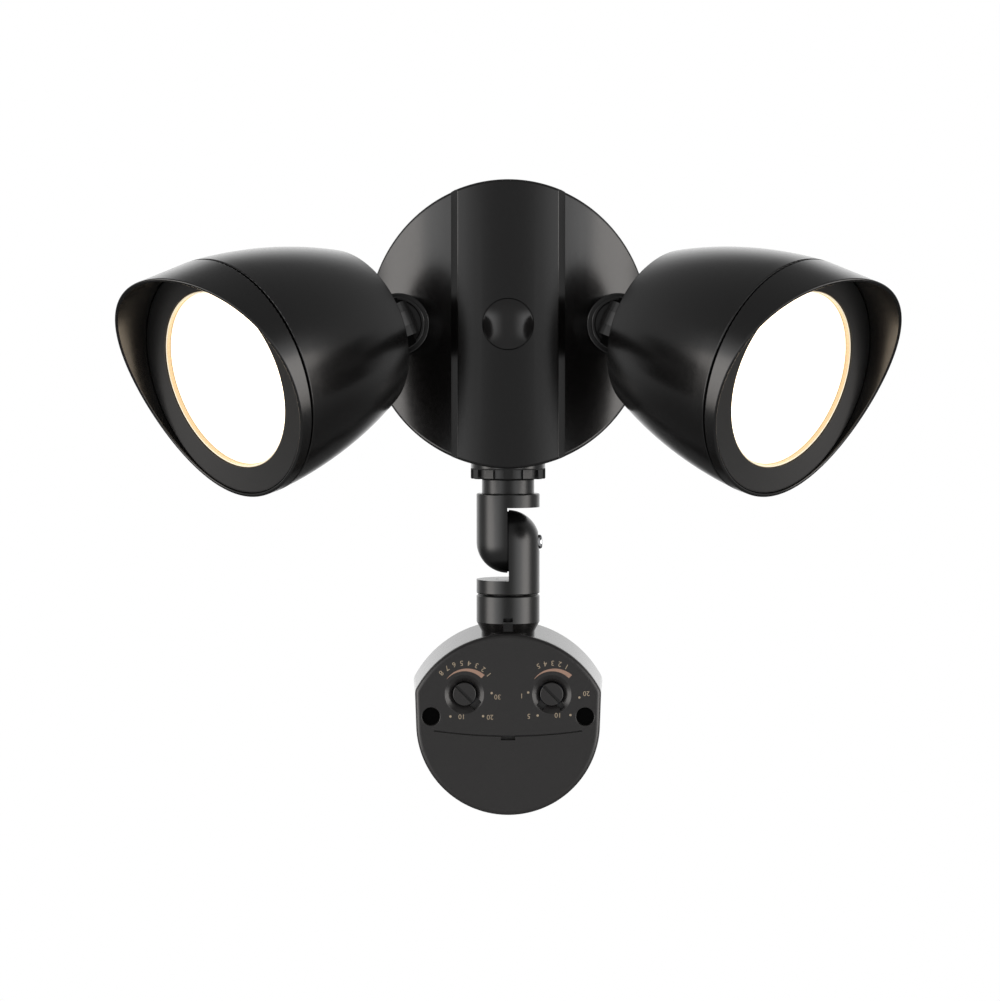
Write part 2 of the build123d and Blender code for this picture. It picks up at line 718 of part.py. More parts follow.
# Visor: the front ring with its eyelid hood, a flange and a spigot that fits in the housing
spigot_outer = inner_seam_radius - seat_clearance
spigot_inner = spigot_outer - spigot_wall
lip_front = visor_station - lens_sink - lens_gasket_thickness
lip_inner = spigot_inner - lens_lip_width
visor_tip = seam_station + visor_top + seam_gap
visor_tip_radius = seam_radius - visor_taper * (visor_tip - visor_station)
with BuildPart() as visor:
    with BuildSketch(head_profile) as visor_profile:
        with BuildLine():
            Polyline(
                (spigot_inner, spigot_back),
                (spigot_outer, spigot_back),
                (spigot_outer, visor_station),
                (seam_radius, visor_station),
                (visor_tip_radius, visor_tip),
                (visor_tip_radius - visor_wall, visor_tip),
                (seam_radius - visor_wall, visor_station + visor_flange),
                (spigot_inner, visor_station + visor_flange),
                (spigot_inner, lip_front),
                (lip_inner, lip_front),
                (lip_inner, lip_front - lens_lip_thickness),
                (spigot_inner, lip_front - lens_lip_thickness),
                (spigot_inner, spigot_back),
            )
        make_face()
        fillet(visor_profile.vertices().sort_by(Axis.X)[-1], seam_edge)
    revolve(axis=head_line)
    beyond = visor_tip + visor_top
    with BuildSketch(head_profile):
        with BuildLine():
            ThreePointArc(
                (-seam_radius, seam_station + visor_low),
                (0, seam_station + visor_middle),
                (seam_radius, seam_station + visor_top),
            )
            Polyline(
                (seam_radius, seam_station + visor_top),
                (seam_radius, beyond),
                (-seam_radius, beyond),
                (-seam_radius, seam_station + visor_low),
            )
        make_face()
    extrude(amount=seam_radius, both=True, mode=Mode.SUBTRACT)
    visor_rims = visor.edges().filter_by(lambda edge: edge.geom_type == GeomType.BSPLINE)
    fillet(visor_rims.sort_by(SortBy.LENGTH)[-2:], visor_rim)

# Lens gasket, frosted lens and the bezel that clamps them in the visor
lens_back = lip_front + lens_gasket_thickness
lens_front = lens_back + lens_thickness
lens_radius = spigot_inner - seat_clearance
bezel_radius = seam_radius - visor_wall - visor_taper * visor_low - 2 * seat_clearance
bezel_opening_radius = spigot_inner - bezel_face
lens_rim_radius = bezel_opening_radius - seat_clearance
with BuildPart() as lens_gasket:
    with BuildSketch(head_plane(lip_front)):
        Circle(lens_radius)
        Circle(lip_inner, mode=Mode.SUBTRACT)
    extrude(amount=lens_gasket_thickness)

with BuildPart() as lens:
    with BuildSketch(head_plane(lens_back)):
        Circle(lens_radius)
    extrude(amount=lens_thickness)
    with BuildSketch(head_plane(lens_front)):
        Circle(lens_rim_radius)
        Circle(lens_rim_radius - lens_rim, mode=Mode.SUBTRACT)
    extrude(amount=lens_rim_height)
    fillet(lens.edges().group_by(head_line)[-1], lens_rim_edge)

with BuildPart() as bezel:
    with BuildSketch(head_profile):
        with BuildLine():
            Polyline(
                (bezel_opening_radius, lens_front),
                (bezel_opening_radius, lens_front + bezel_lip),
                (bezel_radius - bezel_rim, lens_front + bezel_rise),
                (bezel_radius, lens_front + bezel_rise),
                (bezel_radius, visor_station + visor_flange),
                (spigot_inner, visor_station + visor_flange),
                (spigot_inner, lens_front),
                (bezel_opening_radius, lens_front),
            )
        make_face()
    revolve(axis=head_line)

# Arm gasket and lock nut under the canopy
gasket_drop = hub_drop + arm_gasket_thickness
nut_drop = gasket_drop + lock_nut_height
lock_nut_radius = hub_radius - lock_nut_lug_height
with BuildPart() as arm_gasket:
    with BuildSketch(arm_plane.offset(-gasket_drop)):
        Circle(hub_radius)
        Circle(stem_radius + running_clearance, mode=Mode.SUBTRACT)
    extrude(amount=arm_gasket_thickness)

with BuildPart() as lock_nut:
    with BuildSketch(arm_plane.offset(-nut_drop)):
        Circle(lock_nut_radius)
        with PolarLocations(lock_nut_radius, lock_nut_lugs):
            Rectangle(2 * lock_nut_lug_height, lock_nut_lug_width)
        Circle(stem_radius + running_clearance, mode=Mode.SUBTRACT)
    extrude(amount=lock_nut_height)
    chamfer(lock_nut.faces().sort_by(Axis.Z)[0].outer_wire().edges(), lock_nut_edge)

# Upper elbow: threaded stem, smooth sleeve, disc and a half-round tongue with a ball end
stem_top = hub_drop - hub_thickness - stem_inside
sleeve_top = nut_drop + seat_clearance
elbow_top_drop = nut_drop + sleeve_length
elbow_pivot_drop = elbow_top_drop + elbow_disc_thickness + elbow_top_gap + elbow_radius
thread_turns = int((elbow_top_drop - stem_top) / thread_pitch)
thread_root = stem_radius - thread_depth
with BuildPart() as stem_sleeve:
    with BuildSketch(arm_plane.offset(-elbow_top_drop)):
        Circle(sleeve_radius)
    extrude(amount=elbow_top_drop - sleeve_top)
    chamfer(stem_sleeve.faces().sort_by(Axis.Z)[-1].edges(), sleeve_edge)

with BuildPart() as upper_elbow:
    with BuildSketch(arm_plane.offset(-elbow_pivot_drop)):
        Circle(elbow_radius)
    extrude(amount=elbow_pivot_drop - elbow_top_drop)
    with Locations((0, -arm_depth, -elbow_pivot_drop)):
        Sphere(elbow_radius)
    split(bisect_by=Plane.YZ.offset(-elbow_gap / 2), keep=Keep.BOTTOM)
    with BuildSketch(arm_plane.offset(-elbow_top_drop)):
        Circle(elbow_radius)
    extrude(amount=-elbow_disc_thickness)
    fillet(upper_elbow.edges().filter_by(GeomType.CIRCLE).group_by(Axis.Z)[-1], elbow_edge)
    with BuildSketch(arm_profile):
        with BuildLine():
            thread_points = [(0, -elbow_top_drop)]
            for turn in range(thread_turns):
                foot = -elbow_top_drop + turn * thread_pitch
                thread_points.append((thread_root, foot))
                thread_points.append((stem_radius, foot + (thread_pitch - thread_crest) / 2))
                thread_points.append((stem_radius, foot + (thread_pitch + thread_crest) / 2))
            thread_points.append((thread_root, -elbow_top_drop + thread_turns * thread_pitch))
            thread_points.append((0, -elbow_top_drop + thread_turns * thread_pitch))
            Polyline(*thread_points, close=True)
        make_face()
    revolve(axis=arm_line)
    add(stem_sleeve.part)
    with BuildSketch(arm_plane.offset(-elbow_top_drop)):
        Circle(stem_bore_radius)
    extrude(amount=elbow_top_drop - stem_top, mode=Mode.SUBTRACT)
    with BuildSketch(Plane.YZ.offset(-elbow_gap / 2)):
        with Locations((-arm_depth, -elbow_pivot_drop)):
            Circle(elbow_screw_radius + seat_clearance)
    extrude(amount=-elbow_screw_reach, mode=Mode.SUBTRACT)

# Friction washer between the two tongues
with BuildPart() as elbow_washer:
    with BuildSketch(Plane.YZ.offset(-elbow_gap / 2)):
        with Locations((-arm_depth, -elbow_pivot_drop)):
            Circle(elbow_radius - elbow_washer_inset)
            Circle(elbow_screw_radius + seat_clearance, mode=Mode.SUBTRACT)
    extrude(amount=elbow_gap)

# Lower elbow: the same tongue turned over, a disc, and a spigot for the sensor's neck
elbow_foot_drop = elbow_pivot_drop + elbow_radius + elbow_foot_gap
foot_bottom = elbow_foot_drop + elbow_foot_thickness
ring_top = foot_bottom + neck_groove
ring_bottom = ring_top + collar_ring_height
socket_bottom = ring_bottom + neck_socket_length
spigot_bottom = socket_bottom + seat_clearance + neck_clip_thickness
spotface = elbow_radius - elbow_spotface_depth
with BuildPart() as lower_elbow:
    with BuildSketch(arm_plane.offset(-elbow_pivot_drop)):
        Circle(elbow_radius)
    extrude(amount=elbow_pivot_drop - elbow_foot_drop)
    with Locations((0, -arm_depth, -elbow_pivot_drop)):
        Sphere(elbow_radius)
    split(bisect_by=Plane.YZ.offset(elbow_gap / 2), keep=Keep.TOP)
    with BuildSketch(arm_plane.offset(-elbow_foot_drop)):
        Circle(elbow_radius)
    extrude(amount=-elbow_foot_thickness)
    fillet(lower_elbow.edges().filter_by(GeomType.CIRCLE).group_by(Axis.Z)[0], elbow_edge)
    with BuildSketch(arm_plane.offset(-foot_bottom)):
        Circle(spigot_radius)
        Circle(stem_bore_radius, mode=Mode.SUBTRACT)
    extrude(amount=foot_bottom - spigot_bottom)
    with BuildSketch(Plane.YZ.offset(spotface)):
        with Locations((-arm_depth, -elbow_pivot_drop)):
            Circle(elbow_spotface_radius)
    extrude(amount=elbow_spotface_radius, mode=Mode.SUBTRACT)
    with BuildSketch(Plane.YZ.offset(elbow_gap / 2)):
        with Locations((-arm_depth, -elbow_pivot_drop)):
            Circle(elbow_screw_radius + running_clearance)
    extrude(amount=elbow_radius, mode=Mode.SUBTRACT)
    with BuildSketch(arm_plane.offset(-elbow_foot_drop)):
        with Locations((-foot_hole_offset, 0)):
            Circle(foot_hole_radius)
    extrude(amount=-foot_hole_depth, mode=Mode.SUBTRACT)

# Elbow screw: a pan head at the right, threaded into the upper tongue
with BuildPart() as elbow_screw:
    with BuildSketch(Plane.YZ.offset(spotface)):
        with Locations((-arm_depth, -elbow_pivot_drop)):
            Circle(elbow_screw_head_radius)
    extrude(amount=elbow_screw_head_height)
    fillet(elbow_screw.faces().sort_by(Axis.X)[-1].edges(), elbow_screw_head_height / 2)
    with BuildSketch(Plane.YZ.offset(spotface)):
        with Locations((-arm_depth, -elbow_pivot_drop)):
            Circle(elbow_screw_radius)
    extrude(amount=-spotface - elbow_screw_reach)

# Neck ring below the elbow, with a small slot through its front
ring_front = arm_depth + collar_ring_radius
with BuildPart() as neck_ring:
    with BuildSketch(arm_plane.offset(-ring_bottom)):
        Circle(collar_ring_radius)
        Circle(spigot_radius + running_clearance, mode=Mode.SUBTRACT)
    extrude(amount=collar_ring_height)
    chamfer(neck_ring.faces().sort_by(Axis.Z)[-1].outer_wire().edges(), neck_groove)
    with BuildSketch(wall_plane.offset(ring_front)):
        with Locations((0, -ring_bottom + neck_slot_lift + neck_slot_height / 2)):
            Rectangle(neck_slot_width, neck_slot_height)
    extrude(amount=-collar_ring_radius, mode=Mode.SUBTRACT)

# Clip that keeps the spigot in the sensor's neck
with BuildPart() as neck_clip:
    with BuildSketch(arm_plane.offset(-spigot_bottom)):
        Circle(spigot_radius + neck_clip_lip)
        Circle(spigot_radius + seat_clearance, mode=Mode.SUBTRACT)
    extrude(amount=neck_clip_thickness)

# Drops and depths of the sensor, which hangs from the neck ring
sensor_rear_top = ring_bottom + sensor_top_gap
sensor_front_top = sensor_rear_top + sensor_top_slope
chin_centre_drop = sensor_front_top + chin_centre_fall
rear_shape = (chin_radius + rear_flare, sensor_rear_top + rear_shoulder_drop, sensor_rear_top)
front_shape = (chin_radius + front_flare, sensor_front_top + front_shoulder_fall, sensor_front_top)
sensor_back_depth = arm_depth - sensor_back_reach
cavity_back = sensor_back_depth + sensor_wall
cover_back_depth = arm_depth + sensor_front_reach
cover_front_depth = cover_back_depth + cover_thickness
knob_front_depth = cover_front_depth - knob_recess
knob_back_depth = knob_front_depth - knob_length
sensor_board_depth = knob_back_depth - pot_gap - pot_depth - board_thickness
window_back_depth = sensor_back_depth + window_back_rim
window_depth = cover_back_depth - window_front_rim - window_back_depth
fresnel_outer = chin_radius - sensor_wall - seat_clearance


def sensor_outline(plane, half_width, shoulder, top, inset):
    """Face of the sensor's outline: a flat arc on top, straight flanks and a round chin."""
    rise = chin_centre_drop - shoulder
    lean = atan2(rise, half_width) - acos(chin_radius / hypot(half_width, rise))
    touch = Vector(chin_radius * cos(lean), chin_radius * sin(lean) - chin_centre_drop)
    with BuildSketch(plane) as outline:
        with BuildLine():
            ThreePointArc((-half_width, -shoulder), (0, -top), (half_width, -shoulder))
            Line((half_width, -shoulder), (touch.X, touch.Y))
            ThreePointArc(
                (touch.X, touch.Y), (0, -chin_centre_drop - chin_radius), (-touch.X, touch.Y)
            )
            Line((-touch.X, touch.Y), (-half_width, -shoulder))
        make_face()
        fillet(outline.vertices().group_by(Axis.Y)[-1], shoulder_rounding)
        if inset > 0:
            offset(amount=-inset, kind=Kind.INTERSECTION)
    return outline.sketch


# Sensor housing: a moulded drum with a neck on top and a lens window underneath
screw_x = chin_radius + front_flare - cover_screw_inset
cover_screws = [(x, -sensor_front_top - cover_screw_fall) for x in (-screw_x, screw_x)]
board_half_width = screw_x - cover_boss_radius - sensor_board_gap
board_middle = sensor_front_top + sensor_board_fall + sensor_board_height / 2
post_x = board_half_width - sensor_post_inset
post_z = sensor_board_height / 2 - sensor_post_inset
board_posts = [(x, z - board_middle) for x in (-post_x, post_x) for z in (-post_z, post_z)]
neck_radius = spigot_radius + neck_wall
channel_floor = neck_radius + neck_channel_wall
with BuildPart() as sensor_housing:
    loft(
        [
            sensor_outline(wall_plane.offset(sensor_back_depth), *rear_shape, 0),
            sensor_outline(wall_plane.offset(cover_back_depth), *front_shape, 0),
        ],
        ruled=True,
    )
    fillet(sensor_housing.faces().sort_by(Axis.Y)[-1].edges(), sensor_rear_edge)
    loft(
        [
            sensor_outline(wall_plane.offset(cavity_back), *rear_shape, sensor_wall),
            sensor_outline(wall_plane.offset(cover_back_depth), *front_shape, sensor_wall),
        ],
        ruled=True,
        mode=Mode.SUBTRACT,
    )
    with BuildSketch(arm_profile):
        with BuildLine():
            Polyline(
                (0, -ring_bottom),
                (collar_ring_radius, -ring_bottom),
                (neck_radius, -ring_bottom - neck_cone_height),
                (neck_radius, -socket_bottom),
                (0, -socket_bottom),
                close=True,
            )
        make_face()
    revolve(axis=arm_line)
    with BuildSketch(arm_plane.offset(-ring_bottom)):
        with Locations((0, -(channel_floor + collar_ring_radius) / 2)):
            Rectangle(neck_slot_width, collar_ring_radius - channel_floor)
    extrude(amount=-neck_channel_height, mode=Mode.SUBTRACT)
    with BuildSketch(arm_plane.offset(-ring_bottom)):
        Circle(spigot_radius + running_clearance)
    extrude(amount=-neck_socket_length, mode=Mode.SUBTRACT)
    with BuildSketch(wall_plane.offset(cavity_back)):
        with Locations(*cover_screws):
            Circle(cover_boss_radius)
    extrude(amount=cover_back_depth - cavity_back)
    with BuildSketch(wall_plane.offset(cavity_back)):
        with Locations(*board_posts):
            Circle(sensor_post_radius)
    extrude(amount=sensor_board_depth - cavity_back)
    with BuildSketch(wall_plane.offset(cover_back_depth)):
        with Locations(*cover_screws):
            Circle(screw_radius)
    extrude(amount=-screw_bite, mode=Mode.SUBTRACT)
    with BuildSketch(wall_plane.offset(sensor_board_depth)):
        with Locations(*board_posts):
            Circle(screw_radius)
    extrude(amount=-screw_bite, mode=Mode.SUBTRACT)
    with BuildSketch(wall_plane.offset(window_back_depth)):
        with BuildLine():
            reach = 2 * chin_radius
            corner = reach / cos(radians(window_half_angle / 2))
            spread = radians(window_half_angle)
            half_spread = spread / 2
            Polyline(
                (0, -chin_centre_drop),
                (-reach * sin(spread), -chin_centre_drop - reach * cos(spread)),
                (-corner * sin(half_spread), -chin_centre_drop - corner * cos(half_spread)),
                (corner * sin(half_spread), -chin_centre_drop - corner * cos(half_spread)),
                (reach * sin(spread), -chin_centre_drop - reach * cos(spread)),
                close=True,
            )
        make_face()
        with Locations((0, -chin_centre_drop)):
            Circle(fresnel_outer, mode=Mode.SUBTRACT)
    extrude(amount=window_depth, mode=Mode.SUBTRACT)

# Curved lens behind the window, facing down in this pose
fresnel_spread = radians(window_half_angle) + fresnel_margin / chin_radius
fresnel_end = Vector(sin(fresnel_spread), -cos(fresnel_spread))
with BuildPart() as fresnel_lens:
    with BuildSketch(wall_plane.offset(window_back_depth - fresnel_margin)):
        with BuildLine():
            inner = fresnel_outer - fresnel_thickness
            middle = -chin_centre_drop
            ThreePointArc(
                (fresnel_end.X * fresnel_outer, middle + fresnel_end.Y * fresnel_outer),
                (0, middle - fresnel_outer),
                (-fresnel_end.X * fresnel_outer, middle + fresnel_end.Y * fresnel_outer),
            )
            Line(
                (-fresnel_end.X * fresnel_outer, middle + fresnel_end.Y * fresnel_outer),
                (-fresnel_end.X * inner, middle + fresnel_end.Y * inner),
            )
            ThreePointArc(
                (-fresnel_end.X * inner, middle + fresnel_end.Y * inner),
                (0, middle - inner),
                (fresnel_end.X * inner, middle + fresnel_end.Y * inner),
            )
            Line(
                (fresnel_end.X * inner, middle + fresnel_end.Y * inner),
                (fresnel_end.X * fresnel_outer, middle + fresnel_end.Y * fresnel_outer),
            )
        make_face()
    extrude(amount=window_depth + 2 * fresnel_margin)

# Front cover of the sensor: the control panel with its dished knob holes, and the smooth chin
knob_places = [(x, -sensor_front_top - knob_fall) for x in (-knob_offset, knob_offset)]
stop_inner = knob_radius
stop_outer = dish_radius - dial_stop_margin
stop_reach = (stop_inner + stop_outer) / 2
cover_seam_drop = sensor_front_top + cover_seam_fall
cover_seam_end_drop = cover_seam_drop - cover_seam_bow
with BuildPart() as sensor_cover:
    extrude(sensor_outline(wall_plane.offset(cover_back_depth), *front_shape, 0), amount=cover_thickness)
    fillet(sensor_cover.faces().sort_by(Axis.Y)[0].edges(), cover_edge)
    with Locations(wall_plane.offset(cover_front_depth)):
        with Locations(*knob_places):
            CounterSinkHole(
                radius=knob_radius + dial_gap,
                counter_sink_radius=dish_radius,
                depth=cover_thickness,
                counter_sink_angle=dish_angle,
            )
        with Locations(*cover_screws):
            CounterBoreHole(
                radius=screw_radius + seat_clearance,
                counter_bore_radius=cover_screw_well_radius,
                counter_bore_depth=cover_thickness - cover_screw_seat,
                depth=cover_thickness,
            )
    fillet(sensor_cover.faces().sort_by(Axis.Y)[0].inner_wires().edges(), dish_edge)
    with BuildSketch(wall_plane.offset(cover_front_depth)):
        for (x, z), stops in zip(knob_places, (sensitivity_stops, timer_stops)):
            for angle, length in stops:
                turn = radians(angle)
                with Locations(Location((x + stop_reach * cos(turn), z + stop_reach * sin(turn)), angle)):
                    Rectangle(stop_outer - stop_inner, length)
    extrude(amount=-dial_stop_depth, mode=Mode.SUBTRACT)
    with BuildSketch(wall_plane.offset(cover_front_depth)):
        with BuildLine() as seam:
            ThreePointArc(
                (-cover_seam_half_length, -cover_seam_end_drop),
                (0, -cover_seam_drop),
                (cover_seam_half_length, -cover_seam_end_drop),
            )
        trace(seam.edges(), line_width=cover_seam_width)
    extrude(amount=-cover_seam_depth, mode=Mode.SUBTRACT)
    with BuildSketch(wall_plane.offset(cover_front_depth)):
        with Locations((0, -cover_seam_drop - cover_notch_height / 2)):
            Rectangle(cover_notch_width, cover_notch_height)
    extrude(amount=-cover_notch_depth, mode=Mode.SUBTRACT)

# Sensor board with its dials' potentiometers, the motion detector and the light cell
with BuildPart() as sensor_board:
    with BuildSketch(wall_plane.offset(sensor_board_depth)):
        with Locations((0, -board_middle)):
            Rectangle(2 * board_half_width, sensor_board_height)
        with Locations(*board_posts):
            Circle(screw_radius + seat_clearance, mode=Mode.SUBTRACT)
    extrude(amount=board_thickness)

pot_back = sensor_board_depth + board_thickness
stem_end_depth = knob_back_depth - knob_stem_length
dials = {}
for dial_name, place in zip(("sensitivity", "timer"), knob_places):
    with BuildPart() as dial_pot:
        with BuildSketch(wall_plane.offset(pot_back)):
            with Locations(place):
                Rectangle(pot_size, pot_size)
        extrude(amount=pot_depth)
        with BuildSketch(wall_plane.offset(stem_end_depth - seat_clearance)):
            with Locations(place):
                Circle(knob_stem_radius + running_clearance)
        extrude(amount=pot_depth, mode=Mode.SUBTRACT)
    with BuildPart() as dial_knob:
        with BuildSketch(wall_plane.offset(knob_back_depth)):
            with Locations(place):
                Circle(knob_radius)
        extrude(amount=knob_length)
        fillet(dial_knob.faces().sort_by(Axis.Y)[0].edges(), knob_edge)
        with BuildSketch(wall_plane.offset(knob_front_depth)):
            with Locations(Location(place, knob_slot_angle)):
                Rectangle(2 * knob_radius, knob_slot_width)
        extrude(amount=-knob_slot_depth, mode=Mode.SUBTRACT)
        with BuildSketch(wall_plane.offset(stem_end_depth)):
            with Locations(place):
                Circle(knob_stem_radius)
        extrude(amount=knob_stem_length)
    dials[f"{dial_name}_pot"] = dial_pot
    dials[f"{dial_name}_knob"] = dial_knob

holder_drop = sensor_front_top + holder_fall
with BuildPart() as detector_holder:
    with BuildSketch(wall_plane.offset(sensor_board_depth)):
        with Locations((0, -holder_drop)):
            Rectangle(holder_width, holder_height)
    extrude(amount=-holder_depth)

holder_bottom = holder_drop + holder_height / 2
holder_plane = Plane((0, -sensor_board_depth + holder_depth / 2, -holder_bottom))
with BuildPart() as motion_detector:
    with BuildSketch(holder_plane):
        Circle(pir_radius)
    extrude(amount=-pir_height)

with BuildPart() as light_cell:
    with BuildSketch(holder_plane):
        with Locations((pir_radius + photocell_gap + photocell_radius, 0)):
            Circle(photocell_radius)
    extrude(amount=-photocell_height)

# Screws of the sensor: two through the cover and four through the board
with BuildPart() as sensor_screws:
    with BuildSketch(wall_plane.offset(cover_back_depth + cover_screw_seat)):
        with Locations(*cover_screws):
            Circle(cover_screw_well_radius - cover_screw_head_gap)
    extrude(amount=screw_head_height)
    with BuildSketch(wall_plane.offset(cover_back_depth + cover_screw_seat)):
        with Locations(*cover_screws):
            Circle(screw_radius)
    extrude(amount=-cover_screw_seat - screw_bite)
    with BuildSketch(wall_plane.offset(pot_back)):
        with Locations(*board_posts):
            Circle(screw_head_radius)
    extrude(amount=screw_head_height)
    with BuildSketch(wall_plane.offset(pot_back)):
        with Locations(*board_posts):
            Circle(screw_radius)
    extrude(amount=-board_thickness - screw_bite)

# Every piece is written under its own name, and the right head is the left head mirrored
pieces = {
    "wall_gasket": wall_gasket,
    "mounting_bar": mounting_bar,
    "ground_screw": ground_screw,
    "canopy": canopy,
    "centre_screw": centre_screw,
    "centre_plug": centre_plug,
    "driver_board": driver_board,
    "driver_transformer": driver_transformer,
    "driver_capacitor": driver_capacitor,
    "wire_connector": wire_connector,
    "driver_screws": driver_screws,
    "arm_gasket": arm_gasket,
    "lock_nut": lock_nut,
    "upper_elbow": upper_elbow,
    "elbow_washer": elbow_washer,
    "elbow_screw": elbow_screw,
    "lower_elbow": lower_elbow,
    "neck_ring": neck_ring,
    "neck_clip": neck_clip,
    "sensor_housing": sensor_housing,
    "fresnel_lens": fresnel_lens,
    "sensor_cover": sensor_cover,
    "sensor_board": sensor_board,
    "detector_holder": detector_holder,
    "motion_detector": motion_detector,
    "light_cell": light_cell,
    "sensor_screws": sensor_screws,
    **dials,
}
head_pieces = {
    "swivel_collar": swivel_collar,
    "swivel_post": swivel_post,
    "post_nut": post_nut,
    "tilt_screw": tilt_screw,
    "tilt_nut": tilt_nut,
    "head_housing": head_housing,
    "heat_plate": heat_plate,
    "led_board": led_board,
    "led_chips": led_chips,
    "plate_screws": plate_screws,
    "visor": visor,
    "lens_gasket": lens_gasket,
    "lens": lens,
    "bezel": bezel,
}
os.makedirs("parts", exist_ok=True)
for name, piece in pieces.items():
    piece.part.label = name
    export_step(piece.part, f"parts/{name}.step")
for name, piece in head_pieces.items():
    piece.part.label = f"left_{name}"
    export_step(piece.part, f"parts/left_{name}.step")
    with BuildPart() as mirrored:
        mirror(piece.part, about=Plane.YZ)
    mirrored.part.label = f"right_{name}"
    export_step(mirrored.part, f"parts/right_{name}.step")
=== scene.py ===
from math import asin, atan2, cos, pi, radians, sin

import bmesh
import bpy
from mathutils import Matrix, Vector


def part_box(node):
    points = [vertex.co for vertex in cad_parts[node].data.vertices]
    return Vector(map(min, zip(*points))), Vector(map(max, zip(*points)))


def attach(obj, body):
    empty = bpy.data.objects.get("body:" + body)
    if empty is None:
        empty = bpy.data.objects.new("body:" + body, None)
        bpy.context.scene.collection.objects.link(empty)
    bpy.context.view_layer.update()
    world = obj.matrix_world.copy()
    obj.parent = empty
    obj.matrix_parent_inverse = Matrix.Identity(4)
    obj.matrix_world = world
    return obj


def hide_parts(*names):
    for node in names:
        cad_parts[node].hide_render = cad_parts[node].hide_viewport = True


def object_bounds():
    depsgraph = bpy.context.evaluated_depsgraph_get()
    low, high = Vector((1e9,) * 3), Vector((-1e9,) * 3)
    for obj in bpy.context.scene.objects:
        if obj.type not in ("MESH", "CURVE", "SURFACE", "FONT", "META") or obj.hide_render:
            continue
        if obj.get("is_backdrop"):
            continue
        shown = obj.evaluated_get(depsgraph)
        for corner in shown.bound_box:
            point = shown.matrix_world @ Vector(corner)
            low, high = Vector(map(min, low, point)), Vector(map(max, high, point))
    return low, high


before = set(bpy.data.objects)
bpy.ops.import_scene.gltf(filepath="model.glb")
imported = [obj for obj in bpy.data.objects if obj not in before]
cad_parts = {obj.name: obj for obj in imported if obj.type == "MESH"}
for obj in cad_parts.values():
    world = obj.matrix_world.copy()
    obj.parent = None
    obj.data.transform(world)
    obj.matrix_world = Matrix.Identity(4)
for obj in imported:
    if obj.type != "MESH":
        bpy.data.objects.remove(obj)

cad_low, cad_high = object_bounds()

# Wall gasket: a ring of closed-cell foam rubber, die-cut from sheet and stuck to the canopy's back.
# The cut foam is dull charcoal with fine pores, and the same rubber makes the washers of the arm and
# the lenses.


def linear(colour):
    """Linear RGBA of an sRGB hex colour."""
    channels = [int(colour[i:i + 2], 16) / 255 for i in (1, 3, 5)]
    return [c / 12.92 if c <= 0.04045 else ((c + 0.055) / 1.055) ** 2.4 for c in channels] + [1.0]


def add(tree, kind, settings=None, sockets=None):
    """Adds a node with its settings. A socket is given a value, or another node's output to link."""
    made = tree.nodes.new(kind)
    for name, value in (settings or {}).items():
        setattr(made, name, value)
    for name, value in (sockets or {}).items():
        if isinstance(value, bpy.types.NodeSocket):
            tree.links.new(value, made.inputs[name])
        else:
            made.inputs[name].default_value = value
    return made


def finish_of(name, dark, light, grain_mm, roughness, relief_mm=0.0, **constants):
    """A surface whose colour and roughness drift between two values over a grain of a real size.

    The grain also lifts the surface by relief_mm. Constants are sockets of the shader that stay the same
    all over."""
    material = bpy.data.materials.new(name)
    material.use_nodes = True
    tree = material.node_tree
    shader = tree.nodes["Principled BSDF"]
    for socket, value in constants.items():
        shader.inputs[socket.replace("_", " ")].default_value = value
    place = add(tree, "ShaderNodeTexCoord").outputs["Object"]
    grain = add(tree, "ShaderNodeTexNoise", sockets={
        "Vector": place, "Scale": 1000 / grain_mm, "Detail": 3.0})
    colour = add(tree, "ShaderNodeMix", {"data_type": "RGBA"}, {"Factor": grain.outputs["Fac"]})
    colour.inputs[6].default_value = linear(dark)
    colour.inputs[7].default_value = linear(light)
    tree.links.new(colour.outputs[2], shader.inputs["Base Color"])
    gloss = add(tree, "ShaderNodeMapRange", sockets={
        "Value": grain.outputs["Fac"], "From Min": 0.3, "From Max": 0.7,
        "To Min": roughness[0], "To Max": roughness[1]})
    tree.links.new(gloss.outputs["Result"], shader.inputs["Roughness"])
    if relief_mm:
        bump = add(tree, "ShaderNodeBump", sockets={
            "Height": grain.outputs["Fac"], "Strength": 1.0, "Distance": relief_mm / 1000})
        tree.links.new(bump.outputs["Normal"], shader.inputs["Normal"])
    return material


def dress(material, *names):
    """Gives the finish to the named pieces of the frame."""
    for name in names:
        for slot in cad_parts[name].material_slots:
            slot.material = material


sides = ("left", "right")
foam_rubber = finish_of("foam_rubber", "#1a1a1b", "#2c2c2d", 0.6, (0.8, 0.95), relief_mm=0.05)
dress(foam_rubber, "wall_gasket", "arm_gasket", "elbow_washer", *[f"{side}_lens_gasket" for side in sides])

# Mounting bar and screws: mild steel, stamped or headed, then bright zinc plated. Plating is a soft
# grey metal with a faint cloudy pattern. The ground screw is dyed green, as the wiring rules ask.
zinc_plate = finish_of("zinc_plated_steel", "#9c9d9b", "#c2c3bf", 2.5, (0.28, 0.42), Metallic=1.0)
dress(zinc_plate, "mounting_bar", "centre_screw", "driver_screws", "neck_clip", "motion_detector")
dress(zinc_plate, *[f"{side}_{piece}" for side in sides for piece in ("post_nut", "plate_screws")])
green_screw = finish_of("green_dyed_zinc", "#1f6b34", "#2c8546", 1.5, (0.3, 0.42), Metallic=0.6)
dress(green_screw, "ground_screw")

